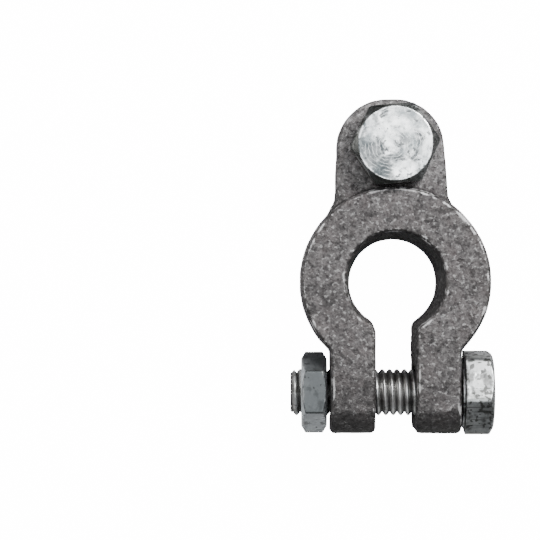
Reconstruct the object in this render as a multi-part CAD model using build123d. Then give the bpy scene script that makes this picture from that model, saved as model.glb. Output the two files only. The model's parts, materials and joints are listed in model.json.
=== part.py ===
from build123d import *
from math import cos, radians, tan
import os

# Battery terminal clamp: one lead alloy casting (split ring, two ears and a cable lug),
# a clamp bolt and nut that draw the ears together, and a cable bolt and nut in the lug.
#
# Millimetres. The origin is on the axis of the post bore, at the back face that the
# clamp rests on. +Z runs to the mouth of the tapered bore, +Y to the cable lug and
# +X to the head of the clamp bolt.

# --- post bore ---------------------------------------------------------------------
post_small_diameter = 15.0  # bore at its narrow end
post_taper_ratio = 9.0  # the diameter grows by 1 mm in this many
post_land_length = 2.5  # parallel land at the narrow end

# --- split ring --------------------------------------------------------------------
ring_height = 16.0
parting_height = 9.4  # the moulding line round the outside
ring_outer_radius = 15.9  # at the moulding line
mould_draft = 2.5  # degrees, each way from the moulding line
front_edge_bevel = 0.4
back_edge_bevel = 0.35

# --- ears and the slot between them ------------------------------------------------
ear_outer_half_width = 11.0  # at the moulding line
ear_end_reach = 25.3  # from the bore axis, at the moulding line
ear_corner_round = 0.9
ear_root_round = 1.2
ear_end_round = 4.8  # seen from the side, about the clamp bolt
slot_back_width = 6.4
slot_front_width = 6.8
slot_mouth_round = 1.8  # where the slot opens into the bore

# --- cable lug ---------------------------------------------------------------------
cable_bolt_stand_off = 6.7  # from the ring's outside to the cable bolt's axis
cable_bolt_reach = ring_outer_radius + cable_bolt_stand_off  # from the bore axis
lug_back_height = 5.3
lug_front_height = 13.3
lug_end_radius = 8.2
lug_end_half_flat = 0.8  # the end is a little blunter than a half circle
lug_end_length = 7.9  # past the cable bolt's axis
lug_end_reach = cable_bolt_reach + lug_end_length
lug_lean_across = -0.75  # the lug is cast a little to one side
lug_root_half_width = 9.75
lug_root_shift = -0.45
lug_flare_depth = 2.5  # inside the ring's outside, where the lug starts to widen
lug_flare_reach = ring_outer_radius - lug_flare_depth
lug_flare_length = 4.0
lug_flare_width = 2.0
lug_edge_round = 0.6
lug_back_bevel = 0.4
collar_foot_round = 0.35
hollow_depth = 0.29  # of its radius, how far a hollow round lies from its corner

# --- M8 fasteners ------------------------------------------------------------------
thread_diameter = 7.82
thread_tip_bevel = 0.7
clearance_hole_diameter = 9.0
nut_across_flats = 11.9
nut_thickness = 4.3
nut_corner_round = 0.4
nut_flat_diameter = 11.2  # the flat ends inside the bevelled corners
nut_running_clearance = 0.05  # on the radius, between the shank and the nut
head_across_flats = 13.0
head_corner_round = 1.0
head_height = 5.25
head_bearing_diameter = 11.8
head_bearing_step = 0.45
head_top_diameter = 12.1
crown_angle = 30.0  # degrees, the bevel that rounds off the hexagon corners

# --- clamp bolt and nut ------------------------------------------------------------
clamp_bolt_axis_reach = 18.5  # from the bore axis, towards the ear ends
clamp_bolt_axis_height = 8.0
clamp_head_gap = 0.2  # from the ear to the head
clamp_bolt_length = 28.65
clamp_head_turn = 10.0  # degrees
clamp_nut_gap = 0.35  # from the ear to the nut
clamp_nut_turn = 28.0  # degrees

# --- cable bolt and nut ------------------------------------------------------------
cable_bolt_across = -0.2
cable_head_gap = 0.15  # from the lug to the head
cable_bolt_length = 13.0
cable_head_turn = 5.0  # degrees
cable_nut_gap = 0.15  # from the lug to the nut
cable_nut_turn = 4.0  # degrees

cut_margin = 5.0  # how far a cutting solid runs past the face it cuts
touching = 0.01  # edges and corners this close to a place are taken as being there


def hexagon_solid(across_flats, corner_round, start, thickness):
    """A hexagonal prism with rounded corners, along +Z from the height start."""
    outline = RegularPolygon(across_flats / 2, 6, major_radius=False)
    outline = fillet(outline.vertices(), corner_round)
    return Pos(0, 0, start) * extrude(outline, thickness)


def corner_bevel(flat_diameter, across_flats, start, thickness):
    """The turned envelope that bevels the corners of a hexagon at both ends."""
    corner_radius = across_flats / 2 / cos(radians(30)) + cut_margin
    drop = (corner_radius - flat_diameter / 2) * tan(radians(crown_angle))
    top = start + thickness
    points = [
        (0, start),
        (flat_diameter / 2, start),
        (corner_radius, start + drop),
        (corner_radius, top - drop),
        (flat_diameter / 2, top),
        (0, top),
    ]
    section = Plane.XZ * make_face(Polyline(*points, close=True))
    return revolve(section, Axis.Z)


def hex_bolt(length):
    """A hexagon bolt along Z: the head's bearing face is at z = 0 and the tip at -length."""
    hexagon_height = head_height - head_bearing_step
    hexagon = hexagon_solid(
        head_across_flats, head_corner_round, head_bearing_step, hexagon_height
    )
    envelope = corner_bevel(
        head_top_diameter,
        head_across_flats,
        head_bearing_step - cut_margin,
        hexagon_height + cut_margin,
    )
    bearing = Cylinder(
        head_bearing_diameter / 2, head_bearing_step, align=(Align.CENTER, Align.CENTER, Align.MIN)
    )
    shank = Pos(0, 0, -length) * Cylinder(
        thread_diameter / 2, length, align=(Align.CENTER, Align.CENTER, Align.MIN)
    )
    tip_edge = shank.edges().filter_by(GeomType.CIRCLE).sort_by(Axis.Z)[0]
    shank = chamfer(tip_edge, thread_tip_bevel)
    return (hexagon & envelope) + bearing + shank


def hex_nut():
    """A thin hexagon nut along Z with its inner face at z = 0, bevelled at both ends."""
    hexagon = hexagon_solid(nut_across_flats, nut_corner_round, -nut_thickness, nut_thickness)
    envelope = corner_bevel(nut_flat_diameter, nut_across_flats, -nut_thickness, nut_thickness)
    hole_radius = thread_diameter / 2 + nut_running_clearance
    hole = Pos(0, 0, -nut_thickness / 2) * Cylinder(hole_radius, nut_thickness + cut_margin)
    return (hexagon & envelope) - hole


def drafted(outline, back, front):
    """A plan outline drawn at the moulding line, run out to both faces with the draft."""
    outline = Pos(0, 0, parting_height) * outline
    upper = extrude(outline, front - parting_height, taper=mould_draft)
    lower = extrude(outline, parting_height - back, dir=(0, 0, -1), taper=mould_draft)
    return upper + lower


def ring_outline():
    """The ring and the block of the two ears, before the slot and the bore are cut."""
    ear_block = Pos(0, -ear_end_reach / 2) * Rectangle(2 * ear_outer_half_width, ear_end_reach)
    outline = Circle(ring_outer_radius) + ear_block
    roots = [
        v
        for v in outline.vertices()
        if abs(v.center().length - ring_outer_radius) < touching and v.Y < 0
    ]
    outline = fillet(roots, ear_root_round)
    return fillet(outline.vertices().group_by(Axis.Y)[0], ear_corner_round)


def side_envelope():
    """The casting seen from the side: the ear ends are drafted and rounded."""
    draft = tan(radians(mould_draft))
    far_end = lug_end_reach + cut_margin
    back = (-ear_end_reach + parting_height * draft, 0)
    front = (-ear_end_reach + (ring_height - parting_height) * draft, ring_height)
    points = [(far_end, 0), back, (-ear_end_reach, parting_height), front, (far_end, ring_height)]
    outline = make_face(Polyline(*points, close=True))
    corners = [v for v in outline.vertices() if (v.X, v.Y) in (back, front)]
    outline = fillet(corners, ear_end_round)
    return extrude(Plane.YZ * outline, ring_outer_radius + cut_margin, both=True)


def post_bore_cutter():
    """The tapered bore with its parallel land at the narrow end."""
    small = post_small_diameter / 2
    taper_length = ring_height - post_land_length + cut_margin
    large = small + taper_length / post_taper_ratio / 2
    points = [
        (0, -cut_margin),
        (small, -cut_margin),
        (small, post_land_length),
        (large, ring_height + cut_margin),
        (0, ring_height + cut_margin),
    ]
    return revolve(Plane.XZ * make_face(Polyline(*points, close=True)), Axis.Z)


def slot_cutter():
    """The slot from the bore to the ear ends, a little wider at the front face."""
    spread = (slot_front_width - slot_back_width) / 2 / ring_height
    back = slot_back_width / 2 - spread * cut_margin
    front = slot_front_width / 2 + spread * cut_margin
    points = [
        (-back, -cut_margin),
        (back, -cut_margin),
        (front, ring_height + cut_margin),
        (-front, ring_height + cut_margin),
    ]
    section = Plane.XZ * make_face(Polyline(*points, close=True))
    return extrude(section, ear_end_reach + cut_margin, dir=(0, -1, 0))


def slot_corners(body):
    """The upright edges of the slot's side walls: those at the bore and those at the ear ends."""
    upright = [e for e in body.edges() if abs(e.tangent_at(0.5).Z) > abs(e.tangent_at(0.5).Y)]
    corners = [e for e in upright if abs(e.center().X) < slot_front_width / 2]
    at_bore = [e for e in corners if e.center().Y > -ear_end_reach / 2]
    at_ends = [e for e in corners if e.center().Y < -ear_end_reach / 2]
    return at_bore, at_ends


def face_rim(body, side):
    """The edges round the front face (side -1) or the back face (side 0)."""
    return body.faces().sort_by(Axis.Z)[side].outer_wire().edges()


def clamp_ring():
    """The split ring and its ears, with every edge broken."""
    ring = drafted(ring_outline(), 0, ring_height) - post_bore_cutter() - slot_cutter()
    ring = fillet(slot_corners(ring)[0], slot_mouth_round)
    ring = fillet(slot_corners(ring)[1], ear_corner_round)
    ring = chamfer(face_rim(ring, -1), front_edge_bevel)
    ring = chamfer(face_rim(ring, 0), back_edge_bevel)
    return ring & side_envelope()


def cable_lug():
    """The lug round the cable bolt, with the wider root that carries it into the ring."""
    left = lug_root_shift - lug_root_half_width
    right = lug_root_shift + lug_root_half_width
    inner_reach = lug_flare_reach - lug_flare_length
    outer_reach = lug_flare_reach + lug_flare_length
    end = Pos(lug_lean_across, lug_end_reach - lug_end_radius) * Circle(lug_end_radius)
    end_left = Pos(-lug_end_half_flat, 0) * end
    end_right = Pos(lug_end_half_flat, 0) * end
    inner_end = Line((left, inner_reach), (right, inner_reach))
    tongue = make_hull(end_left.edges() + end_right.edges() + inner_end.edges())
    flare = Polyline(
        (left - lug_flare_width, inner_reach),
        (right + lug_flare_width, inner_reach),
        (right - lug_flare_width, outer_reach),
        (left + lug_flare_width, outer_reach),
        close=True,
    )
    lug = drafted(tongue, lug_back_height, lug_front_height)
    lug += drafted(make_face(flare), lug_back_height, lug_front_height)
    lug = fillet(face_rim(lug, -1), lug_edge_round)
    lug = chamfer(face_rim(lug, 0), lug_back_bevel)
    return lug - post_bore_cutter()


def collar_foot():
    """The hollow round in the corner where the ring stands up from the lug's front face."""
    draft = tan(radians(mould_draft))
    wall = ring_outer_radius - (lug_front_height - parting_height) * draft
    inside = wall - collar_foot_round
    outside = wall + collar_foot_round
    top = lug_front_height + collar_foot_round
    bottom = lug_front_height - collar_foot_round
    on_lug = (outside, lug_front_height)
    on_ring = (wall - collar_foot_round * draft, top)
    hollow = collar_foot_round * hollow_depth
    curve = ThreePointArc(on_lug, (wall + hollow, lug_front_height + hollow), on_ring)
    rest = Polyline(on_ring, (inside, top), (inside, bottom), (outside, bottom), on_lug)
    foot = revolve(Plane.XZ * make_face(Curve() + [curve, rest]), Axis.Z)
    width = 2 * (lug_root_half_width - 2 * lug_edge_round)
    lug_width = Box(width, ring_outer_radius, ring_height)
    return foot & Pos(lug_root_shift, ring_outer_radius, lug_front_height) * lug_width


def clamp_casting():
    """The one-piece casting: split ring, ears and cable lug."""
    body = clamp_ring() + cable_lug() + collar_foot()
    hole_radius = clearance_hole_diameter / 2
    ear_holes = Cylinder(hole_radius, 2 * (ear_outer_half_width + cut_margin))
    body -= Pos(0, -clamp_bolt_axis_reach, clamp_bolt_axis_height) * Rot(0, 90, 0) * ear_holes
    lug_hole = Cylinder(hole_radius, ring_height + cut_margin)
    body -= Pos(cable_bolt_across, cable_bolt_reach, ring_height / 2) * lug_hole
    return body


def clamp_bolt():
    """The bolt through both ears, its head on the +X side."""
    place = Pos(
        ear_outer_half_width + clamp_head_gap, -clamp_bolt_axis_reach, clamp_bolt_axis_height
    )
    return place * Rot(0, 90, 0) * Rot(0, 0, clamp_head_turn) * hex_bolt(clamp_bolt_length)


def clamp_nut():
    """The thin nut on the -X side of the ears."""
    place = Pos(
        -ear_outer_half_width - clamp_nut_gap, -clamp_bolt_axis_reach, clamp_bolt_axis_height
    )
    return place * Rot(0, 90, 0) * Rot(0, 0, clamp_nut_turn) * hex_nut()


def cable_bolt():
    """The short bolt through the lug, its head at the front."""
    place = Pos(cable_bolt_across, cable_bolt_reach, lug_front_height + cable_head_gap)
    return place * Rot(0, 0, cable_head_turn) * hex_bolt(cable_bolt_length)


def cable_nut():
    """The thin nut behind the lug that grips the cable's ring terminal."""
    place = Pos(cable_bolt_across, cable_bolt_reach, lug_back_height - cable_nut_gap)
    return place * Rot(0, 0, cable_nut_turn) * hex_nut()


os.makedirs("parts", exist_ok=True)
export_step(clamp_casting(), "parts/clamp_casting.step")
export_step(clamp_bolt(), "parts/clamp_bolt.step")
export_step(clamp_nut(), "parts/clamp_nut.step")
export_step(cable_bolt(), "parts/cable_bolt.step")
export_step(cable_nut(), "parts/cable_nut.step")
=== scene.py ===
"""Dresses the battery terminal clamp: cast lead skin, plated fasteners, studio and camera."""

import json
import logging
import math
from dataclasses import dataclass, field
from enum import Enum

import bmesh
import bpy
from bpy.types import Material, Mesh, Node, NodeTree, Object
from bpy.types import NodeSocket as Socket
from mathutils import Matrix, Vector
from mathutils.bvhtree import BVHTree
from mathutils.kdtree import KDTree

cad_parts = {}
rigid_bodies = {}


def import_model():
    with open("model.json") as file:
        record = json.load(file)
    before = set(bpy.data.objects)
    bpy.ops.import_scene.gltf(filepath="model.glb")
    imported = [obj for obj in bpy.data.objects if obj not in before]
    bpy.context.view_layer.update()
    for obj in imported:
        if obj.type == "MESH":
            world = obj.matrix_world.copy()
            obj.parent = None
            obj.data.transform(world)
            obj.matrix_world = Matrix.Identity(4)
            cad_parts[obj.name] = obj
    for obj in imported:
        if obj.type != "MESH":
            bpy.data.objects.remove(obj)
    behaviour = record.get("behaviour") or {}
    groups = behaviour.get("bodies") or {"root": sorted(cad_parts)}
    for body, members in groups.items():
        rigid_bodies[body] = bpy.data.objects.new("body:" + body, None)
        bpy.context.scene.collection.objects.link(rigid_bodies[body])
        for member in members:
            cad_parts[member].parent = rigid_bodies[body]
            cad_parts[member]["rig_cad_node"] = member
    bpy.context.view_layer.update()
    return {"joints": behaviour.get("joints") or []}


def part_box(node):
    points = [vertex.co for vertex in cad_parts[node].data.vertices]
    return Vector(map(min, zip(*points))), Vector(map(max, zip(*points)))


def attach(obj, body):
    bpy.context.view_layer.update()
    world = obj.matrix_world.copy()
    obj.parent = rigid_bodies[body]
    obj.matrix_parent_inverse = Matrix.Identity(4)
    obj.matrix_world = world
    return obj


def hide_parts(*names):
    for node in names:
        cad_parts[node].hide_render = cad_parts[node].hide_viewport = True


Colour = tuple[float, float, float]
Place = tuple[float, float, float]
Sides = tuple[tuple[Vector, float], ...]  # ways a face may look, each with a value

MM = 0.001
LOG = logging.getLogger("clamp")

# Attributes of a piece's corners, each from 0 to 1.
EDGE = "edge"  # high on the outer edges
CORNER = "corner"  # high in the inner corners
DARKENED = "dull"  # high where the colour is darkened: painted shade on faces that look certain ways and in a thread's roots, and across the casting's ears
PAINTED_LIGHT = "scuff"  # high where light is painted on the casting, making it paler
SHADE_SLOPE = "tarnish"  # rises across a head towards its dimmer side, where shade is painted

# The skin of a plated piece: how often it is smoothed, and how it swells, waves and pits.
PLATED = {"softening": 2, "Swell": 0.02 * MM, "Wave_Scale": 260.0, "Pit_Scale": 700.0}

LEFT, RIGHT = Vector((-1.0, 0.0, 0.0)), Vector((1.0, 0.0, 0.0))
EAR_WAY, LUG_WAY = Vector((0.0, -1.0, 0.0)), Vector((0.0, 1.0, 0.0))
UPWARDS = Vector((0.0, 0.0, 1.0))


class Axis(Enum):
    """The way a bolt points, from its tip to its head, as the index of its coordinate."""

    ACROSS = 0
    UP = 2

    def way(self) -> Vector:
        """Returns the unit vector along this axis."""
        return (RIGHT if self is Axis.ACROSS else UPWARDS).copy()

    def turn(self) -> Matrix:
        """Returns the turn that brings +Z onto this axis."""
        if self is Axis.ACROSS:
            return Matrix.Rotation(math.radians(90.0), 4, "Y")
        return Matrix.Identity(4)


# --- node trees ----------------------------------------------------------------------


class TreeBuilder:
    """Adds nodes to one tree and joins their sockets."""

    def __init__(self, tree: NodeTree) -> None:
        """Takes the tree that it adds to."""
        self.tree = tree

    def node(self, kind: str, **values: object) -> Node:
        """Adds a node and feeds its inputs by name, with _ for a space.

        Args:
            kind: The node's type name.
            values: Numbers to write or sockets to link.

        Returns:
            The node.
        """
        made = self.tree.nodes.new(kind)
        self.fill(made, values)
        return made

    def fill(self, node: Node, values: dict[str, object]) -> None:
        """Feeds a node's inputs by name, with _ for a space."""
        for title, value in values.items():
            self.feed(value, node.inputs[title.replace("_", " ")])

    def feed(self, value: object, socket: Socket) -> None:
        """Links a socket or writes a value."""
        if isinstance(value, Socket):
            self.tree.links.new(value, socket)
        else:
            socket.default_value = value

    def math(self, operation: str, *values: object) -> Socket:
        """Adds a Math node, feeds its inputs in order and returns its result."""
        return self._sum("ShaderNodeMath", operation, values)

    def vector(self, operation: str, *values: object) -> Socket:
        """Adds a Vector Math node, feeds its inputs in order and returns its result."""
        return self._sum("ShaderNodeVectorMath", operation, values)

    def _sum(self, kind: str, operation: str, values: tuple[object, ...]) -> Socket:
        """Adds a node that works one operation on its inputs."""
        made = self.tree.nodes.new(kind)
        made.operation = operation
        for index, value in enumerate(values):
            self.feed(value, made.inputs[index])
        return made.outputs[0]


class GroupBuilder(TreeBuilder):
    """Builds one shader node group with named inputs and outputs."""

    def __init__(
        self, name: str, inputs: dict[str, float], outputs: tuple[str, ...] = ("Mask",)
    ) -> None:
        """Makes the empty group.

        Args:
            name: The group's name.
            inputs: Each input's name and its default value.
            outputs: Each output's name.
        """
        super().__init__(bpy.data.node_groups.new(name, "ShaderNodeTree"))
        face = self.tree.interface
        for title, value in inputs.items():
            item = face.new_socket(title, in_out="INPUT", socket_type="NodeSocketFloat")
            item.default_value = value
        for title in outputs:
            face.new_socket(title, in_out="OUTPUT", socket_type="NodeSocketFloat")
        self.given = self.node("NodeGroupInput").outputs
        self.sink = self.node("NodeGroupOutput")
        self.place = self.node("ShaderNodeTexCoord").outputs["Object"]

    def noise(
        self, scale: object, detail: float, roughness: float, place: Socket | None = None
    ) -> Socket:
        """Adds a noise texture on the object's own coordinates.

        Args:
            scale: Its scale, a number or a socket.
            detail: How many octaves it has.
            roughness: How strong the fine octaves are.
            place: The coordinates, if not the object's.

        Returns:
            The socket with the noise's value.
        """
        node = self.node(
            "ShaderNodeTexNoise",
            Vector=place or self.place, Scale=scale, Detail=detail, Roughness=roughness,
        )
        return node.outputs["Fac"]

    def ramp(self, value: Socket, low: object, high: object) -> Socket:
        """Adds a smooth step.

        Args:
            value: What is mapped.
            low: Where the step starts, a number or a socket.
            high: Where it ends.

        Returns:
            The socket that runs from 0 to 1.
        """
        node = self.node("ShaderNodeMapRange", Value=value, From_Min=low, From_Max=high)
        node.interpolation_type = "SMOOTHSTEP"
        return node.outputs["Result"]

    def finish(self, **results: Socket) -> NodeTree:
        """Feeds the group's outputs by name and returns the group."""
        for title, result in results.items():
            self.feed(result, self.sink.inputs[title])
        return self.tree


class Effects:
    """The shader node groups that the finishes share, each built once."""

    def __init__(self) -> None:
        """Builds every group."""
        self.grain = self._grain()
        self.specks = self._specks()
        self.edges = self._edges()
        self.patches = self._patches()
        self.arcs = self._arcs()
        self.streaks = self._streaks()

    def _grain(self) -> NodeTree:
        """Returns the mottle of a skin: Tone is about a half, and Height follows it."""
        build = GroupBuilder(
            "grain",
            {"Fine Scale": 4000.0, "Middle Scale": 1200.0, "Coarse Scale": 400.0, "Contrast": 1.0},
            ("Tone", "Height"),
        )
        given = build.given
        fine = build.noise(given["Fine Scale"], detail=3.0, roughness=0.6)
        middle = build.noise(given["Middle Scale"], detail=5.0, roughness=0.7)
        coarse = build.noise(given["Coarse Scale"], detail=4.0, roughness=0.65)
        fine_share, middle_share, coarse_share = 0.3, 0.5, 0.2
        coarse = build.math("MULTIPLY", coarse, coarse_share)
        height = build.math("MULTIPLY_ADD", middle, middle_share, coarse)
        height = build.math("ADD", height, build.math("MULTIPLY", fine, fine_share))
        apart = build.math("SUBTRACT", height, 0.5)
        tone = build.math("MULTIPLY_ADD", apart, given["Contrast"], 0.5)
        tone.node.use_clamp = True
        return build.finish(Tone=tone, Height=height)

    def _specks(self) -> NodeTree:
        """Returns small scattered spots: Mask is 1 in one, and Amount sets how many there are."""
        inputs = {"Scale": 1500.0, "Amount": 0.3, "Softness": 0.08}
        build = GroupBuilder("specks", inputs)
        spots = build.noise(build.given["Scale"], detail=2.0, roughness=0.5)
        level = build.math("SUBTRACT", 1.0, build.given["Amount"])
        start = build.math("SUBTRACT", level, build.given["Softness"])
        return build.finish(Mask=build.ramp(spots, start, level))

    def _edges(self) -> NodeTree:
        """Returns wear along edges: Mask is 1 where Nearness is high, broken up by noise."""
        inputs = {"Nearness": 0.0, "Break Scale": 700.0, "Break": 0.5}
        build = GroupBuilder("edges", inputs)
        fading, step = 0.22, 0.10
        broken = build.noise(build.given["Break Scale"], detail=4.0, roughness=0.6)
        missing = build.math("SUBTRACT", 1.0, build.given["Nearness"])
        level = build.math("MULTIPLY_ADD", missing, fading, build.given["Break"])
        mask = build.ramp(broken, level, build.math("ADD", level, step))
        return build.finish(Mask=build.math("MULTIPLY", mask, build.given["Nearness"]))

    def _patches(self) -> NodeTree:
        """Returns wide soft stains: Mask runs from 0 to 1 over a few millimetres."""
        inputs = {"Scale": 150.0, "Level": 0.5, "Softness": 0.15}
        build = GroupBuilder("patches", inputs)
        cloud = build.noise(build.given["Scale"], detail=6.0, roughness=0.62)
        low = build.math("SUBTRACT", build.given["Level"], build.given["Softness"])
        high = build.math("ADD", build.given["Level"], build.given["Softness"])
        return build.finish(Mask=build.ramp(cloud, low, high))

    def _streaks(self) -> NodeTree:
        """Returns fine lines along the object's X axis: Mask is 1 in a line."""
        inputs = {"Along": 150.0, "Across": 2400.0, "Level": 0.5}
        build = GroupBuilder("streaks", inputs)
        across, step = build.given["Across"], 0.14
        scales = build.node("ShaderNodeCombineXYZ", X=build.given["Along"], Y=across, Z=across)
        stretched = build.vector("MULTIPLY", build.place, scales.outputs["Vector"])
        lines = build.noise(1.0, detail=4.0, roughness=0.65, place=stretched)
        high = build.math("ADD", build.given["Level"], step)
        return build.finish(Mask=build.ramp(lines, build.given["Level"], high))

    def _arcs(self) -> NodeTree:
        """Returns broken turning marks round the middle of the lug: Mask is 1 on a mark."""
        build = GroupBuilder("arcs", {"Scale": 900.0, "Waver": 2.0, "Level": 0.8})
        lug_to_origin = (0.8 * MM, -22.4 * MM, 0.0)
        centred = build.node("ShaderNodeMapping", Vector=build.place, Location=lug_to_origin)
        rings = build.node(
            "ShaderNodeTexWave",
            Vector=centred.outputs["Vector"], Scale=build.given["Scale"],
            Distortion=build.given["Waver"], Detail=3.0, Detail_Scale=1.5,
        )
        rings.wave_type = "RINGS"
        rings.rings_direction = "Z"
        breaks = build.noise(330.0, detail=3.0, roughness=0.6)
        broken = build.ramp(breaks, low=0.45, high=0.6)
        line = build.ramp(rings.outputs["Fac"], build.given["Level"], 1.0)
        return build.finish(Mask=build.math("MULTIPLY", line, broken))


# --- finishes ------------------------------------------------------------------------


class Surface(TreeBuilder):
    """One material under construction: a Principled BSDF and what feeds it."""

    def __init__(self, name: str, metallic: float) -> None:
        """Makes the material.

        Args:
            name: The material's name.
            metallic: How metallic it is all over.
        """
        self.material = bpy.data.materials.new(name)
        self.material.use_nodes = True
        super().__init__(self.material.node_tree)
        self.shader = self.tree.nodes["Principled BSDF"]
        self.shader.inputs["Metallic"].default_value = metallic

    def group(self, tree: NodeTree, **values: object) -> Node:
        """Places a shared group.

        Args:
            tree: The group.
            values: Its inputs, with _ for a space in a name.

        Returns:
            The group's node.
        """
        node = self.node("ShaderNodeGroup")
        node.node_tree = tree
        self.fill(node, values)
        return node

    def mask(self, tree: NodeTree, **values: object) -> Socket:
        """Places a shared group and returns its mask."""
        return self.group(tree, **values).outputs["Mask"]

    def worn(self, tree: NodeTree, scale: float, level: float) -> Socket:
        """Places the edge group on the piece's own edges.

        Args:
            tree: The edge group.
            scale: How fine the breaks in the wear are.
            level: How much of it is missing.

        Returns:
            The mask's socket.
        """
        return self.mask(tree, Nearness=self.attribute(EDGE), Break_Scale=scale, Break=level)

    def attribute(self, name: str) -> Socket:
        """Returns the socket that reads one of the piece's own attributes."""
        node = self.node("ShaderNodeAttribute")
        node.attribute_name = name
        return node.outputs["Fac"]

    def blend(
        self, mask: Socket, under: Socket | Colour, over: Colour, share: float = 1.0
    ) -> Socket:
        """Lays one colour over another.

        Args:
            mask: Where the upper colour shows.
            under: The lower colour, a socket or a value.
            over: The upper colour.
            share: How strong the upper colour is where the mask is 1.

        Returns:
            The mixed colour's socket.
        """
        node = self.node("ShaderNodeMix")
        node.data_type = "RGBA"
        if share < 1.0:
            mask = self.math("MULTIPLY", mask, share)
        self.feed(mask, node.inputs["Factor"])
        self.feed((*under, 1.0) if isinstance(under, tuple) else under, node.inputs["A"])
        self.feed((*over, 1.0), node.inputs["B"])
        return node.outputs["Result"]

    def scaled(self, value: Socket, low: float, high: float) -> Socket:
        """Returns a value mapped from 0..1 to low..high."""
        node = self.node("ShaderNodeMapRange", Value=value, To_Min=low, To_Max=high)
        return node.outputs["Result"]

    def finish(
        self, colour: Socket, roughness: Socket, height: Socket, strength: float, depth: float
    ) -> Material:
        """Feeds the shader.

        Args:
            colour: The base colour.
            roughness: The roughness.
            height: The height that bends the normal.
            strength: How strong that bend is.
            depth: The depth of the height in metres.

        Returns:
            The material.
        """
        bump = self.node("ShaderNodeBump", Strength=strength, Distance=depth, Height=height)
        self.feed(colour, self.shader.inputs["Base Color"])
        self.feed(roughness, self.shader.inputs["Roughness"])
        self.feed(bump.outputs["Normal"], self.shader.inputs["Normal"])
        return self.material


@dataclass(frozen=True)
class CastLead:
    """Rough grey lead alloy as it left the mould, with bright worn edges and painted light: pale
    patches on the lug and bore wall, glints, and a highlight along the collar's edge.
    """

    dark: Colour = (0.034, 0.031, 0.031)
    light: Colour = (0.142, 0.135, 0.134)
    warm: Colour = (0.10, 0.080, 0.078)
    # oxide in pits and corners, and painted shade on the ear ends
    oxide_and_shade: Colour = (0.012, 0.011, 0.011)
    # worn edges, and painted light: the lug's pale patches, glints and the collar's highlight
    worn_and_lit: Colour = (0.75, 0.74, 0.74)
    metallic: float = 0.6
    contrast: float = 5.0
    blush_share: float = 0.30
    stain_share: float = 0.30
    glint_share: float = 0.20
    painted_light_share: float = 0.12
    pit_share: float = 0.6
    corner_share: float = 0.7
    darkening_share: float = 0.65
    wear_share: float = 0.65
    rough_low: float = 0.42
    rough_high: float = 0.62
    bump_depth: float = 0.55 * MM

    def material(self, effects: Effects) -> Material:
        """Builds the material.

        Args:
            effects: The shared node groups.

        Returns:
            The material.
        """
        surface = Surface("cast_lead", self.metallic)
        grain = surface.group(
            effects.grain,
            Fine_Scale=2600.0, Middle_Scale=1150.0, Coarse_Scale=330.0, Contrast=self.contrast,
        )
        tone = grain.outputs["Tone"]
        stains = surface.mask(effects.patches, Scale=170.0, Level=0.52, Softness=0.14)
        blush = surface.mask(effects.patches, Scale=330.0, Level=0.55, Softness=0.12)
        pits = surface.mask(effects.specks, Scale=900.0, Amount=0.34, Softness=0.10)
        glints = surface.mask(effects.specks, Scale=1500.0, Amount=0.345, Softness=0.08)
        # Painted light: pale patches on the lug and on the bore's wall towards it.
        light_patches = surface.math("MULTIPLY", surface.attribute(PAINTED_LIGHT), tone)
        colour = surface.blend(tone, self.dark, self.light)
        for mask, over, share in (
            (blush, self.warm, self.blush_share),
            (stains, self.dark, self.stain_share),
            (glints, self.worn_and_lit, self.glint_share),
            # painted light on the lug and the bore's wall
            (light_patches, self.worn_and_lit, self.painted_light_share),
            (pits, self.oxide_and_shade, self.pit_share),
            (surface.attribute(CORNER), self.oxide_and_shade, self.corner_share),
            # painted shade on the ear ends, and the darker ears
            (surface.attribute(DARKENED), self.oxide_and_shade, self.darkening_share),
            # wear on the edges, with a painted highlight along the collar
            (surface.worn(effects.edges, scale=420.0, level=0.47), self.worn_and_lit, self.wear_share),
        ):
            colour = surface.blend(mask, colour, over, share)
        return surface.finish(
            colour,
            roughness=surface.scaled(tone, self.rough_high, self.rough_low),
            height=grain.outputs["Height"], strength=1.0, depth=self.bump_depth,
        )


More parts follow.
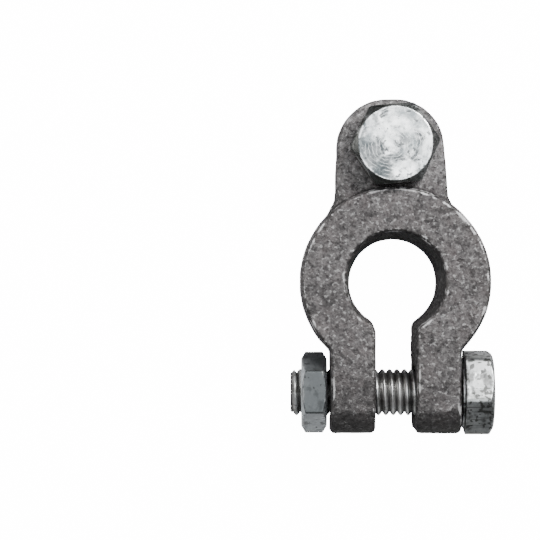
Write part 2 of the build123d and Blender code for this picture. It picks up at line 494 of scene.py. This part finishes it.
@dataclass(frozen=True)
class Zinc:
    """Zinc plating on steel, from bright to dull."""

    name: str
    body: Colour
    cloud: Colour
    stain: Colour = (0.10, 0.095, 0.085)
    # dark streaks, and painted shade on faces that look given ways and in a thread's roots
    grime_and_shade: Colour = (0.035, 0.035, 0.032)
    tarnish: Colour = (0.20, 0.22, 0.225)
    worn_and_lit: Colour = (0.90, 0.91, 0.91)
    metallic: float = 0.92
    cloud_scale: float = 260.0
    cloud_softness: float = 0.10
    cloud_share: float = 0.6
    cloud_falloff: float = 1.0
    grain_share: float = 0.3
    stain_level: float = 0.6
    stain_share: float = 0.6
    speck_amount: float = 0.27
    speck_share: float = 0.85
    shade_share: float = 0.85
    wear_share: float = 0.75
    wear_on_shade: float = 0.15
    turned: bool = False  # whether the face has turning marks, and tarnish with painted shade towards its dim side
    bare_level: float = 0.66  # tarnish and painted shade show where noise is above this on the bright side
    dim_level: float = 0.38  # and on the dim side
    tarnish_and_shade_scale: float = 420.0
    tarnish_and_shade_share: float = 0.55
    broad_arc_share: float = 0.50
    fine_arc_share: float = 0.30
    streaked: bool = False
    dark_streak_share: float = 0.6
    light_streak_share: float = 0.4
    rough_low: float = 0.28
    rough_high: float = 0.46
    bump_depth: float = 0.10 * MM

    def material(self, effects: Effects) -> Material:
        """Builds the material.

        Args:
            effects: The shared node groups.

        Returns:
            The material.
        """
        surface = Surface(self.name, self.metallic)
        grain = surface.group(
            effects.grain,
            Fine_Scale=3000.0, Middle_Scale=1100.0, Coarse_Scale=260.0, Contrast=3.5,
        )
        tone = grain.outputs["Tone"]
        colour = self._clouds(surface, effects, tone)
        if self.turned:
            colour = self._turning(surface, effects, colour)
        wear = surface.worn(effects.edges, scale=500.0, level=0.44)
        colour = surface.blend(wear, colour, self.worn_and_lit, self.wear_share)
        # painted shade on the faces that look given ways, and in a thread's roots
        colour = surface.blend(surface.attribute(DARKENED), colour, self.grime_and_shade, self.shade_share)
        if self.streaked:
            dark = surface.mask(effects.streaks, Along=120.0, Across=1500.0, Level=0.52)
            light = surface.mask(effects.streaks, Along=170.0, Across=1900.0, Level=0.60)
            colour = surface.blend(dark, colour, self.grime_and_shade, self.dark_streak_share)
            colour = surface.blend(light, colour, self.cloud, self.light_streak_share)
        colour = surface.blend(wear, colour, self.worn_and_lit, self.wear_on_shade)
        return surface.finish(
            colour,
            roughness=surface.scaled(tone, self.rough_low, self.rough_high),
            height=grain.outputs["Height"], strength=0.3, depth=self.bump_depth,
        )

    def _clouds(self, surface: Surface, effects: Effects, tone: Socket) -> Socket:
        """Returns the plating's colour with its clouds, stains and specks.

        Args:
            surface: The material under construction.
            effects: The shared node groups.
            tone: The plating's grain.

        Returns:
            The colour's socket.
        """
        clouds = surface.mask(
            effects.patches, Scale=self.cloud_scale, Level=0.5, Softness=self.cloud_softness
        )
        clouds = surface.math("POWER", clouds, self.cloud_falloff)
        stains = surface.mask(effects.patches, Scale=420.0, Level=self.stain_level, Softness=0.06)
        specks = surface.mask(effects.specks, Scale=1100.0, Amount=self.speck_amount, Softness=0.03)
        colour = surface.blend(clouds, self.body, self.cloud, self.cloud_share)
        colour = surface.blend(tone, colour, self.cloud, self.grain_share)
        colour = surface.blend(stains, colour, self.stain, self.stain_share)
        return surface.blend(specks, colour, self.stain, self.speck_share)

    def _turning(self, surface: Surface, effects: Effects, colour: Socket) -> Socket:
        """Lays tarnish with painted shade towards the head's dim side, and turning marks, over a
        colour.

        Args:
            surface: The material under construction.
            effects: The shared node groups.
            colour: What lies below.

        Returns:
            The new colour's socket.
        """
        # Tarnish patches gather towards the head's dim side, as painted shade.
        level = surface.scaled(surface.attribute(SHADE_SLOPE), self.bare_level, self.dim_level)
        dim = surface.mask(effects.patches, Scale=self.tarnish_and_shade_scale, Softness=0.07, Level=level)
        broad = surface.mask(effects.arcs, Scale=110.0, Waver=9.0, Level=0.30)
        fine = surface.mask(effects.arcs, Scale=520.0, Waver=7.0, Level=0.82)
        colour = surface.blend(dim, colour, self.tarnish, self.tarnish_and_shade_share)
        colour = surface.blend(broad, colour, self.tarnish, self.broad_arc_share)
        return surface.blend(fine, colour, self.cloud, self.fine_arc_share)


# --- geometry ------------------------------------------------------------------------


class NodesBuilder(TreeBuilder):
    """Builds one Geometry Nodes tree with named inputs."""

    KINDS = {float: "NodeSocketFloat", int: "NodeSocketInt", tuple: "NodeSocketVector"}

    def __init__(self, name: str, inputs: dict[str, float | int | Place]) -> None:
        """Makes the tree.

        Args:
            name: The tree's name.
            inputs: Each input's name and its default, whose type gives the socket's.
        """
        super().__init__(bpy.data.node_groups.new(name, "GeometryNodeTree"))
        face = self.tree.interface
        face.new_socket("Geometry", in_out="INPUT", socket_type="NodeSocketGeometry")
        face.new_socket("Material", in_out="INPUT", socket_type="NodeSocketMaterial")
        for title, value in inputs.items():
            item = face.new_socket(title, in_out="INPUT", socket_type=self.KINDS[type(value)])
            item.default_value = value
        face.new_socket("Geometry", in_out="OUTPUT", socket_type="NodeSocketGeometry")
        self.given = self.node("NodeGroupInput").outputs
        self.sink = self.node("NodeGroupOutput")

    def finish(self, geometry: Socket) -> NodeTree:
        """Ends the tree in Realize Instances and Set Material.

        Args:
            geometry: What the tree has made.

        Returns:
            The tree.
        """
        real = self.node("GeometryNodeRealizeInstances", Geometry=geometry)
        dressed = self.node(
            "GeometryNodeSetMaterial",
            Geometry=real.outputs["Geometry"], Material=self.given["Material"],
        )
        self.feed(dressed.outputs["Geometry"], self.sink.inputs["Geometry"])
        return self.tree


def clamped(value: float) -> float:
    """Returns a value kept from 0 to 1."""
    return min(1.0, max(0.0, value))


def settle(piece: Object) -> None:
    """Turns a piece with modifiers into a plain mesh with none.

    Args:
        piece: The object with its modifiers.
    """
    graph = bpy.context.evaluated_depsgraph_get()
    mesh = bpy.data.meshes.new_from_object(piece.evaluated_get(graph))
    piece.modifiers.clear()
    old = piece.data
    piece.data = mesh
    bpy.data.meshes.remove(old)
    mesh.name = piece.name
    mesh.polygons.foreach_set("use_smooth", [True] * len(mesh.polygons))


def apply_nodes(piece: Object, tree: NodeTree, values: dict[str, object]) -> None:
    """Adds a Geometry Nodes modifier and sets its inputs by their identifiers.

    Args:
        piece: The object it goes on.
        tree: The tree.
        values: The value of each named input.
    """
    modifier = piece.modifiers.new(tree.name, "NODES")
    modifier.node_group = tree
    items = [item for item in tree.interface.items_tree if item.in_out == "INPUT"]
    identifiers = {item.name: item.identifier for item in items}
    for title, value in values.items():
        modifier[identifiers[title]] = value


def new_piece(name: str, mesh: Mesh) -> Object:
    """Makes an object at the origin and links it to the scene."""
    piece = bpy.data.objects.new(name, mesh)
    bpy.context.scene.collection.objects.link(piece)
    return piece


def copy_of(node: str, name: str, merge: float = 0.0002 * MM) -> Object:
    """Copies a CAD node's mesh, with its corners merged.

    Args:
        node: The CAD node.
        name: The new piece's name.
        merge: How close two corners are that become one.

    Returns:
        The new piece.
    """
    source = next(o for o in bpy.context.scene.objects if o.get("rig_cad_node") == node)
    shape = bmesh.new()
    shape.from_mesh(source.data)
    bmesh.ops.remove_doubles(shape, verts=shape.verts, dist=merge)
    mesh = bpy.data.meshes.new(name)
    shape.to_mesh(mesh)
    shape.free()
    return new_piece(name, mesh)


def sharp_edges(
    mesh: Mesh, bend: float = 20.0, spacing: float = 0.12 * MM
) -> tuple[KDTree, KDTree]:
    """Finds a solid's sharp edges.

    Args:
        mesh: The solid's mesh.
        bend: The least angle between two faces at a sharp edge, in degrees.
        spacing: How far apart the points along an edge are.

    Returns:
        The points along its outer edges, and those along its inner corners.
    """
    shape = bmesh.new()
    shape.from_mesh(mesh)
    found: tuple[list[Vector], list[Vector]] = ([], [])
    for edge in shape.edges:
        angle = edge.calc_face_angle_signed(0.0)
        if abs(angle) < math.radians(bend):
            continue
        start, end = (corner.co for corner in edge.verts)
        steps = max(1, math.ceil((end - start).length / spacing))
        points = found[0 if angle > 0.0 else 1]
        points.extend(start.lerp(end, step / steps) for step in range(steps + 1))
    shape.free()
    trees = []
    for points in found:
        tree = KDTree(len(points))
        for index, point in enumerate(points):
            tree.insert(point, index)
        tree.balance()
        trees.append(tree)
    return trees[0], trees[1]


def note(mesh: Mesh, name: str, values: list[float]) -> None:
    """Writes a new attribute, one value for each of the mesh's corners."""
    mesh.attributes.new(name, "FLOAT", "POINT").data.foreach_set("value", values)


def note_nearness(mesh: Mesh, name: str, edges: KDTree, reach: float) -> None:
    """Writes an attribute that is 1 on the edges and 0 further off than the reach.

    Args:
        mesh: The mesh that gets it.
        name: The attribute's name.
        edges: Points along the edges.
        reach: How far the nearness carries, in metres.
    """
    values = []
    for corner in mesh.vertices:
        distance = edges.find(corner.co)[2]
        values.append(0.0 if distance is None else clamped(1.0 - distance / reach))
    note(mesh, name, values)


def note_slope(mesh: Mesh, name: str, middle: Vector, way: Vector, length: float) -> None:
    """Writes an attribute that rises steadily from 0 to 1 across a piece.

    Args:
        mesh: The mesh that gets it.
        name: The attribute's name.
        middle: Where it is a half.
        way: The way it rises, a unit vector.
        length: How far it takes from 0 to 1.
    """
    slope = [0.5 + (corner.co - middle).dot(way) / length for corner in mesh.vertices]
    note(mesh, name, [clamped(value) for value in slope])


def note_side(mesh: Mesh, name: str, sides: Sides, least: float = 0.45, fade: float = 0.2) -> None:
    """Writes an attribute that is high on the faces that look certain ways.

    Args:
        mesh: The mesh that gets it.
        name: The attribute's name.
        sides: Each way, with the value there.
        least: How far a face must turn that way, as a cosine.
        fade: How much further it must turn for the whole value.
    """
    values = []
    for corner in mesh.vertices:
        value = 0.0
        for way, strength in sides:
            value = max(value, strength * clamped((corner.normal.dot(way) - least) / fade))
        values.append(value)
    note(mesh, name, values)


class RoughSkin:
    """A skin that follows a solid's own surface, softened at its edges, waved and pitted."""

    EDGE_REACH = 0.42 * MM
    CORNER_REACH = 0.8 * MM
    PIT_START = 0.56  # the noise's value where a pit begins
    PIT_FLOOR = 0.74  # and where it is as deep as it gets

    def __init__(self) -> None:
        """Builds the tree that moves the skin, and keeps it inside the solid's box."""
        build = NodesBuilder(
            "rough_skin",
            {
                "Swell": 0.0, "Depth": 0.05 * MM, "Wave Scale": 300.0,
                "Pit Scale": 900.0, "Pit Depth": 0.05 * MM,
                "Low Corner": (0.0, 0.0, 0.0), "High Corner": (0.0, 0.0, 0.0),
            },
        )
        given, noise = build.given, "ShaderNodeTexNoise"
        place = build.node("GeometryNodeInputPosition").outputs["Position"]
        normal = build.node("GeometryNodeInputNormal").outputs["Normal"]
        wave = build.node(noise, Vector=place, Scale=given["Wave Scale"], Detail=3.0).outputs[0]
        pit = build.node(noise, Vector=place, Scale=given["Pit Scale"], Detail=2.0).outputs[0]
        hollow = build.node(
            "ShaderNodeMapRange", Value=pit, From_Min=self.PIT_START, From_Max=self.PIT_FLOOR
        )
        sunk = build.math("MULTIPLY", hollow.outputs["Result"], given["Pit Depth"])
        swing = build.math("SUBTRACT", wave, 0.5)
        rise = build.math("MULTIPLY_ADD", swing, given["Depth"], given["Swell"])
        rise = build.math("SUBTRACT", rise, sunk)
        offset = build.vector("SCALE", normal)
        build.feed(rise, offset.node.inputs["Scale"])
        moved = build.vector("ADD", place, offset)
        moved = build.vector("MAXIMUM", moved, given["Low Corner"])
        moved = build.vector("MINIMUM", moved, given["High Corner"])
        skin = build.node("GeometryNodeSetPosition", Geometry=given["Geometry"], Position=moved)
        self.tree = build.finish(skin.outputs["Geometry"])

    def dress(
        self, piece: Object, material: Material, voxel: float, softening: int, **values: float
    ) -> None:
        """Remeshes a piece, softens its edges, waves its skin and notes where its edges are.

        Args:
            piece: The piece, a closed solid.
            material: Its finish.
            voxel: The mesh's spacing in metres.
            softening: How many times the corners are smoothed.
            values: The tree's inputs, with _ for a space.
        """
        outer, inner = sharp_edges(piece.data)
        corners = [Vector(corner) for corner in piece.bound_box]
        remesh = piece.modifiers.new("fine", "REMESH")
        remesh.mode = "VOXEL"
        remesh.voxel_size = voxel
        soft = piece.modifiers.new("soft", "SMOOTH")
        soft.factor = 0.5
        soft.iterations = softening
        inputs: dict[str, object] = {"Material": material}
        inputs.update((title.replace("_", " "), value) for title, value in values.items())
        inputs["Low Corner"] = [min(corner[i] for corner in corners) for i in range(3)]
        inputs["High Corner"] = [max(corner[i] for corner in corners) for i in range(3)]
        apply_nodes(piece, self.tree, inputs)
        settle(piece)
        note_nearness(piece.data, EDGE, outer, self.EDGE_REACH)
        note_nearness(piece.data, CORNER, inner, self.CORNER_REACH)


@dataclass
class MetricThread:
    """The screw thread of a bolt: a right-handed helix of rounded ridges."""

    length: float
    crest_radius: float
    pitch: float = 1.25 * MM
    depth: float = 0.66 * MM
    tip_bevel: float = 0.75 * MM
    sides: int = 72
    rows_per_pitch: int = 18
    crest_roundness: float = 1.7  # 1 is a sharp V, and more rounds the crest

    def _tree(self, sizes: dict[str, float | int]) -> NodeTree:
        """Builds the Geometry Nodes tree: a fine tube whose radius follows angle and length.

        Args:
            sizes: The thread's sizes, which become the tree's inputs.

        Returns:
            The tree.
        """
        build = NodesBuilder("metric_thread", sizes)
        given, calc = build.given, build.math
        tube = build.node(
            "GeometryNodeMeshCylinder",
            Vertices=given["Sides"], Side_Segments=given["Rows"],
            Radius=given["Crest Radius"], Depth=given["Length"],
        )
        position = build.node("GeometryNodeInputPosition").outputs[0]
        across, over, along = build.node("ShaderNodeSeparateXYZ", Vector=position).outputs
        radius = self._radius(build, across, over, along)
        squares = calc("MULTIPLY", across, across), calc("MULTIPLY", over, over)
        reach = calc("SQRT", calc("ADD", *squares))
        above_zero = calc("MAXIMUM", reach, 1e-9)
        scale = calc("DIVIDE", calc("MINIMUM", radius, reach), above_zero)
        spot = build.node(
            "ShaderNodeCombineXYZ",
            X=calc("MULTIPLY", across, scale), Y=calc("MULTIPLY", over, scale), Z=along,
        )
        shaped = build.node(
            "GeometryNodeSetPosition",
            Geometry=tube.outputs["Mesh"], Position=spot.outputs["Vector"],
        )
        return build.finish(shaped.outputs["Geometry"])

    def _radius(self, build: NodesBuilder, across: Socket, over: Socket, along: Socket) -> Socket:
        """Works out how far from the axis the thread's surface lies.

        Args:
            build: The tree under construction.
            across: A point's X.
            over: Its Y.
            along: Its Z, from the middle.

        Returns:
            The radius there, within the tip's bevel.
        """
        given, calc = build.given, build.math
        turns_up = 100.0  # whole turns that keep the phase above zero
        turn = calc("DIVIDE", calc("ARCTAN2", over, across), 2 * math.pi)
        phase = calc("SUBTRACT", calc("DIVIDE", along, given["Pitch"]), turn)
        share = calc("FRACT", calc("ADD", phase, turns_up))
        apart = calc("ABSOLUTE", calc("SUBTRACT", share, 0.5))
        fall = calc("POWER", calc("MULTIPLY", apart, 2.0), given["Crest Roundness"])
        fall = calc("MULTIPLY", fall, given["Depth"])
        ridge = calc("SUBTRACT", given["Crest Radius"], fall)
        from_tip = calc("ADD", along, calc("DIVIDE", given["Length"], 2.0))
        tip_radius = calc("SUBTRACT", given["Crest Radius"], given["Tip Bevel"])
        return calc("MINIMUM", ridge, calc("ADD", tip_radius, from_tip))

    def piece(self, name: str, material: Material, axis: Axis, tip: Vector) -> Object:
        """Makes the threaded shank.

        Args:
            name: The piece's name.
            material: Its finish.
            axis: The way from the tip to the head.
            tip: The middle of the tip's end face.

        Returns:
            The piece as a plain mesh.
        """
        rod = new_piece(name, bpy.data.meshes.new(name))
        sizes = {
            "Length": self.length,
            "Crest Radius": self.crest_radius,
            "Pitch": self.pitch,
            "Depth": self.depth,
            "Tip Bevel": self.tip_bevel,
            "Crest Roundness": self.crest_roundness,
            "Sides": self.sides,
            "Rows": math.ceil(self.length / self.pitch * self.rows_per_pitch),
        }
        apply_nodes(rod, self._tree(sizes), {"Material": material, **sizes})
        settle(rod)
        radii = [corner.co.xy.length for corner in rod.data.vertices]
        # Painted shade: the roots are darkened by their depth.
        note(rod.data, DARKENED, [clamped((self.crest_radius - r) / self.depth) for r in radii])
        turn = axis.turn()
        middle = tip + turn.to_3x3() @ Vector((0.0, 0.0, self.length / 2))
        rod.data.transform(Matrix.Translation(middle) @ turn)
        return rod


@dataclass
class HexBolt:
    """A hexagon bolt: a head cut from its CAD solid and a threaded shank."""

    node: str
    body: str
    slot: str
    axis: Axis
    head_side: float  # where the head starts along the axis
    pivot: Place
    head_material: Material
    thread_material: Material
    skin: RoughSkin
    shaded_sides: Sides = ()
    shaded_least: float = 0.22
    shaded_way: Vector | None = None
    shade_span: float = 11.0 * MM
    voxel: float = 0.11 * MM
    into_head: float = 0.3 * MM
    shank_radius: float = 3.91 * MM

    def build(self) -> None:
        """Builds the head and the shank."""
        head = self._cut_head()
        self.skin.dress(
            head, self.head_material, self.voxel, Depth=0.05 * MM, Pit_Depth=0.05 * MM, **PLATED
        )
        # Painted shade: the faces that look the given ways are darkened.
        note_side(head.data, DARKENED, self.shaded_sides, self.shaded_least)
        # Painted shade: a slope that darkens the head towards its dim side.
        if self.shaded_way is not None:
            middle = Vector(self.pivot)
            note_slope(head.data, SHADE_SLOPE, middle, self.shaded_way, self.shade_span)
        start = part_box(self.node)[0][self.axis.value]
        tip = Vector(self.pivot)
        tip[self.axis.value] = start
        length = self.head_side + self.into_head - start
        thread = MetricThread(length=length, crest_radius=self.shank_radius)
        rod = thread.piece(f"{self.node}_thread", self.thread_material, self.axis, tip)
        for piece in (head, rod):
            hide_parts(self.node)
            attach(piece, self.body)
            LOG.info("%s: %d faces", piece.name, len(piece.data.polygons))

    def _cut_head(self) -> Object:
        """Copies the CAD bolt and cuts its shank off.

        Returns:
            The head, a closed solid.
        """
        head = copy_of(self.node, f"{self.node}_head")
        way = self.axis.way()
        shape = bmesh.new()
        shape.from_mesh(head.data)
        everything = shape.verts[:] + shape.edges[:] + shape.faces[:]
        bmesh.ops.bisect_plane(
            shape, geom=everything, dist=0.0001 * MM,
            plane_co=way * self.head_side, plane_no=way, clear_inner=True,
        )
        bmesh.ops.holes_fill(shape, edges=[edge for edge in shape.edges if edge.is_boundary])
        bmesh.ops.recalc_face_normals(shape, faces=shape.faces)
        shape.to_mesh(head.data)
        shape.free()
        return head


@dataclass
class HexNut:
    """A thin nut, softened from its CAD solid."""

    node: str
    body: str
    slot: str
    material: Material
    skin: RoughSkin
    shaded_sides: Sides = ()
    voxel: float = 0.11 * MM

    def build(self) -> None:
        """Builds the nut."""
        nut = copy_of(self.node, f"{self.node}_plated")
        self.skin.dress(
            nut, self.material, self.voxel, Depth=0.04 * MM, Pit_Depth=0.03 * MM, **PLATED
        )
        # Painted shade: the faces that look the given ways are darkened.
        note_side(nut.data, DARKENED, self.shaded_sides)
        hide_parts(self.node)
        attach(nut, self.body)
        LOG.info("%s: %d faces", nut.name, len(nut.data.polygons))


@dataclass(frozen=True)
class Seat:
    """The round place on the casting that a bolt's head and nut turn over."""

    pivot: Place
    axis: Axis
    radius: float = 7.7 * MM
    fade: float = 0.9 * MM
    recess: float = 0.03 * MM
    level: float = 0.5  # how square to the axis a face is that they bear on, as a cosine

    def press(self, mesh: Mesh, solid: BVHTree) -> None:
        """Presses the skin back to the solid where the head or nut bears or turns.

        Args:
            mesh: The skin.
            solid: The solid's own surface.
        """
        way = self.axis.way()
        for corner in mesh.vertices:
            inwards = Vector(self.pivot) - corner.co
            inwards -= way * inwards.dot(way)
            share = min(1.0, (self.radius + self.fade - inwards.length) / self.fade)
            if share <= 0.0:
                continue
            place, normal, _, _ = solid.find_nearest(corner.co)
            rise = (corner.co - place).dot(normal) + self.recess
            bears = abs(normal.dot(way)) > self.level
            if rise > 0.0 and (bears or normal.dot(inwards) > 0.0):
                corner.co -= normal * rise * share


@dataclass
class Casting:
    """The lead casting with its rough cast skin."""

    material: Material
    skin: RoughSkin
    seats: tuple[Seat, ...]
    node: str = "clamp_casting"
    body: str = "casting"
    slot: str = "cast_lead"
    collar_height: float = 14.5 * MM
    collar_start: float = 11.0 * MM
    # how much more the collar's edge is brightened: wear and a painted highlight
    collar_wear_and_highlight: float = 1.3
    ears_start: float = -13.0 * MM
    ears_fade: float = 4.0 * MM
    ear_darkening: float = 0.42
    ear_end_least: float = 0.10
    darkening_lean: float = 24.0  # per metre towards -X
    lug_start: float = 14.5 * MM
    lug_fade: float = 2.5 * MM
    bore_limit: float = 8.4 * MM
    bore_light: float = 0.8
    voxel: float = 0.258 * MM

    def build(self) -> None:
        """Builds the casting."""
        skin = copy_of(self.node, "clamp_casting_skin")
        corners = [corner.co.copy() for corner in skin.data.vertices]
        solid = BVHTree.FromPolygons(corners, [tuple(face.vertices) for face in skin.data.polygons])
        self.skin.dress(
            skin, self.material, self.voxel, softening=1, Swell=0.05 * MM, Depth=0.30 * MM,
            Wave_Scale=230.0, Pit_Scale=620.0, Pit_Depth=0.12 * MM,
        )
        for seat in self.seats:
            seat.press(skin.data, solid)
        # Painted shade: the ear ends, which face -Y, are darkened.
        note_side(skin.data, DARKENED, ((EAR_WAY, 1.0),), self.ear_end_least)
        self._darken_ears(skin.data)
        self._scuff(skin.data)
        self._brighten_collar_edges(skin.data)
        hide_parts(self.node)
        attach(skin, self.body)
        LOG.info("%s: %d faces", skin.name, len(skin.data.polygons))

    def _darken_ears(self, mesh: Mesh) -> None:
        """Darkens the skin on the ears, the left one more."""
        for corner, value in zip(mesh.vertices, mesh.attributes[DARKENED].data):
            reach = clamped((self.ears_start - corner.co.y) / self.ears_fade)
            darkness = self.ear_darkening - self.darkening_lean * corner.co.x
            value.value = max(value.value, reach * darkness)

    def _scuff(self, mesh: Mesh) -> None:
        """Notes where light is painted on the skin, as paler colour: on the lug, and on the bore's
        wall towards it.
        """
        values = []
        for corner in mesh.vertices:
            lug = clamped((corner.co.y - self.lug_start) / self.lug_fade)
            in_bore = corner.co.xy.length < self.bore_limit and corner.co.y > 0.0
            values.append(max(lug, self.bore_light) if in_bore else lug)
        note(mesh, PAINTED_LIGHT, values)

    def _brighten_collar_edges(self, mesh: Mesh) -> None:
        """Wears the edges more, with a painted highlight, where the collar stands high, towards the
        lug and +X.
        """
        for corner, value in zip(mesh.vertices, mesh.attributes[EDGE].data):
            worn_and_lit = corner.co.z > self.collar_height
            if worn_and_lit and corner.co.y > self.collar_start - corner.co.x:
                value.value *= self.collar_wear_and_highlight


# --- studio --------------------------------------------------------------------------


@dataclass(frozen=True)
class Softbox:
    """One square soft light."""

    name: str
    place: Place
    size: float
    power: float

    def build(self, target: Vector) -> None:
        """Hangs the light, turned towards the target."""
        lamp = bpy.data.lights.new(self.name, "AREA")
        lamp.shape = "SQUARE"
        lamp.size = self.size
        lamp.energy = self.power
        holder = bpy.data.objects.new(self.name, lamp)
        holder.location = self.place
        holder.rotation_euler = (target - holder.location).to_track_quat("-Z", "Y").to_euler()
        bpy.context.scene.collection.objects.link(holder)


@dataclass
class Studio:
    """A pale floor, soft lights from above, and the camera."""

    camera_place: Vector = field(default_factory=lambda: Vector((-16.7, -6.7, 368.0)) * MM)
    camera_target: Vector = field(default_factory=lambda: Vector((-20.8, 1.86, 16.0)) * MM)
    focal_length: float = 142.44  # millimetres, as the sensor's width
    sensor_width: float = 36.0
    nearest_seen: float = 0.01
    sky: Colour = (0.95, 0.98, 1.0)
    horizon_light: float = 0.27
    overhead_light: float = 5.4
    dim_below: float = 0.92  # the sine of the height in the sky
    bright_above: float = 0.995
    floor_size: float = 1.2
    floor_drop: float = 0.02 * MM
    floor_bounce: float = 0.32
    floor_roughness: float = 0.9
    floor_glow: float = 15.0  # seen by the camera only
    lit_height: float = 8.0 * MM
    softboxes: tuple[Softbox, ...] = (
        Softbox("key", (0.19, 0.25, 0.36), 0.18, 4.2),
        Softbox("fill", (-0.34, 0.10, 0.34), 0.30, 1.1),
    )

    def build(self) -> None:
        """Sets up the whole studio."""
        self.place_camera()
        self.lay_floor()
        self.light_room()
        for softbox in self.softboxes:
            softbox.build(UPWARDS * self.lit_height)

    def place_camera(self) -> None:
        """Makes the camera, looking down at the clamp with +Y at the top."""
        lens = bpy.data.cameras.new("camera")
        lens.lens = self.focal_length
        lens.sensor_width = self.sensor_width
        lens.clip_start = self.nearest_seen
        camera = bpy.data.objects.new("camera", lens)
        back = (self.camera_place - self.camera_target).normalized()
        right = LUG_WAY.cross(back).normalized()
        above = back.cross(right)
        turn = Matrix((right, above, back)).transposed().to_4x4()
        camera.matrix_world = Matrix.Translation(self.camera_place) @ turn
        bpy.context.scene.collection.objects.link(camera)
        bpy.context.scene.camera = camera

    def lay_floor(self) -> None:
        """Lays the pale floor under the clamp."""
        shape = bmesh.new()
        bmesh.ops.create_grid(shape, x_segments=1, y_segments=1, size=self.floor_size / 2)
        mesh = bpy.data.meshes.new("floor")
        shape.to_mesh(mesh)
        shape.free()
        mesh.transform(Matrix.Translation((0.0, 0.0, -self.floor_drop)))
        floor = new_piece("floor", mesh)
        pale = bpy.data.materials.new("pale_floor")
        pale.use_nodes = True
        build = TreeBuilder(pale.node_tree)
        inputs = pale.node_tree.nodes["Principled BSDF"].inputs
        inputs["Base Color"].default_value = (*(self.floor_bounce,) * 3, 1.0)
        inputs["Roughness"].default_value = self.floor_roughness
        inputs["Specular IOR Level"].default_value = 0.0
        inputs["Emission Color"].default_value = (1.0, 1.0, 1.0, 1.0)
        seen = build.node("ShaderNodeLightPath").outputs["Is Camera Ray"]
        build.feed(build.math("MULTIPLY", seen, self.floor_glow), inputs["Emission Strength"])
        mesh.materials.append(pale)

    def light_room(self) -> None:
        """Fills the room with light that is bright overhead and dim at the horizon."""
        world = bpy.data.worlds.new("room")
        world.use_nodes = True
        build = TreeBuilder(world.node_tree)
        way = build.node("ShaderNodeTexCoord").outputs["Generated"]
        height = build.node("ShaderNodeSeparateXYZ", Vector=way).outputs["Z"]
        rise = build.node(
            "ShaderNodeMapRange",
            Value=height, From_Min=self.dim_below, From_Max=self.bright_above,
            To_Min=self.horizon_light, To_Max=self.overhead_light,
        )
        rise.interpolation_type = "SMOOTHSTEP"
        inputs = world.node_tree.nodes["Background"].inputs
        inputs["Color"].default_value = (*self.sky, 1.0)
        build.feed(rise.outputs["Result"], inputs["Strength"])
        bpy.context.scene.world = world


def main() -> None:
    """Builds the clamp's looks and the studio, and keeps the sizes."""
    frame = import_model()
    pivots = {joint["child"]: joint.get("pos_m") for joint in frame["joints"]}
    effects = Effects()
    skin = RoughSkin()
    bright = Zinc(
        "bright_bolt", body=(0.17, 0.187, 0.193), cloud=(0.99, 0.99, 0.98),
        stain=(0.05, 0.055, 0.057), tarnish=(0.040, 0.047, 0.050),
        cloud_share=1.0, cloud_falloff=1.3, cloud_softness=0.16, grain_share=0.08,
        stain_level=0.58, speck_amount=0.33, shade_share=0.84, turned=True, bare_level=0.68,
        dim_level=0.42, tarnish_and_shade_scale=330.0, tarnish_and_shade_share=0.85, rough_low=0.20, rough_high=0.34,
    )
    worn = Zinc(
        "worn_bolt", body=(0.30, 0.31, 0.31), cloud=(0.75, 0.77, 0.77), stain=(0.04, 0.04, 0.038),
        stain_level=0.55, stain_share=0.70, speck_amount=0.41, shade_share=0.6, streaked=True,
    )
    dull = Zinc(
        "zinc_nut", body=(0.56, 0.59, 0.61), cloud=(0.92, 0.96, 0.98), grime_and_shade=(0.022, 0.025, 0.026),
        shade_share=0.93, rough_low=0.38, rough_high=0.55,
    )
    steel = Zinc(
        "thread_steel", body=(0.45, 0.45, 0.44), cloud=(0.75, 0.75, 0.74),
        stain_level=0.55, shade_share=0.93, rough_low=0.26,
    )
    thread_material = steel.material(effects)
    nut_material = dull.material(effects)
    seats = (Seat(pivots["clamp_bolt"], Axis.ACROSS), Seat(pivots["cable_bolt"], Axis.UP))
    Casting(CastLead().material(effects), skin, seats).build()
    HexBolt(
        "clamp_bolt", "clamp_bolt", "zinc_bolt", Axis.ACROSS, head_side=11.2 * MM,
        pivot=pivots["clamp_bolt"], head_material=worn.material(effects),
        thread_material=thread_material, skin=skin,
        shaded_sides=((EAR_WAY, 0.80), (UPWARDS, 0.72)),
    ).build()
    HexBolt(
        "cable_bolt", "cable_bolt", "bright_bolt", Axis.UP, head_side=13.45 * MM,
        pivot=pivots["cable_bolt"], head_material=bright.material(effects),
        thread_material=thread_material, skin=skin,
        shaded_sides=((EAR_WAY, 1.0), (LUG_WAY, 0.9), (LEFT, 1.0), (RIGHT, 0.9)),
        shaded_way=Vector((-0.8, -0.6, 0.0)),
    ).build()
    HexNut(
        "clamp_nut", "clamp_nut", "zinc_nut", nut_material, skin,
        shaded_sides=((LUG_WAY, 0.72), (UPWARDS, 0.98)),
    ).build()
    HexNut("cable_nut", "cable_nut", "zinc_nut", nut_material, skin).build()
    Studio().build()


if __name__ == "__main__":
    logging.basicConfig(level=logging.INFO)
    main()
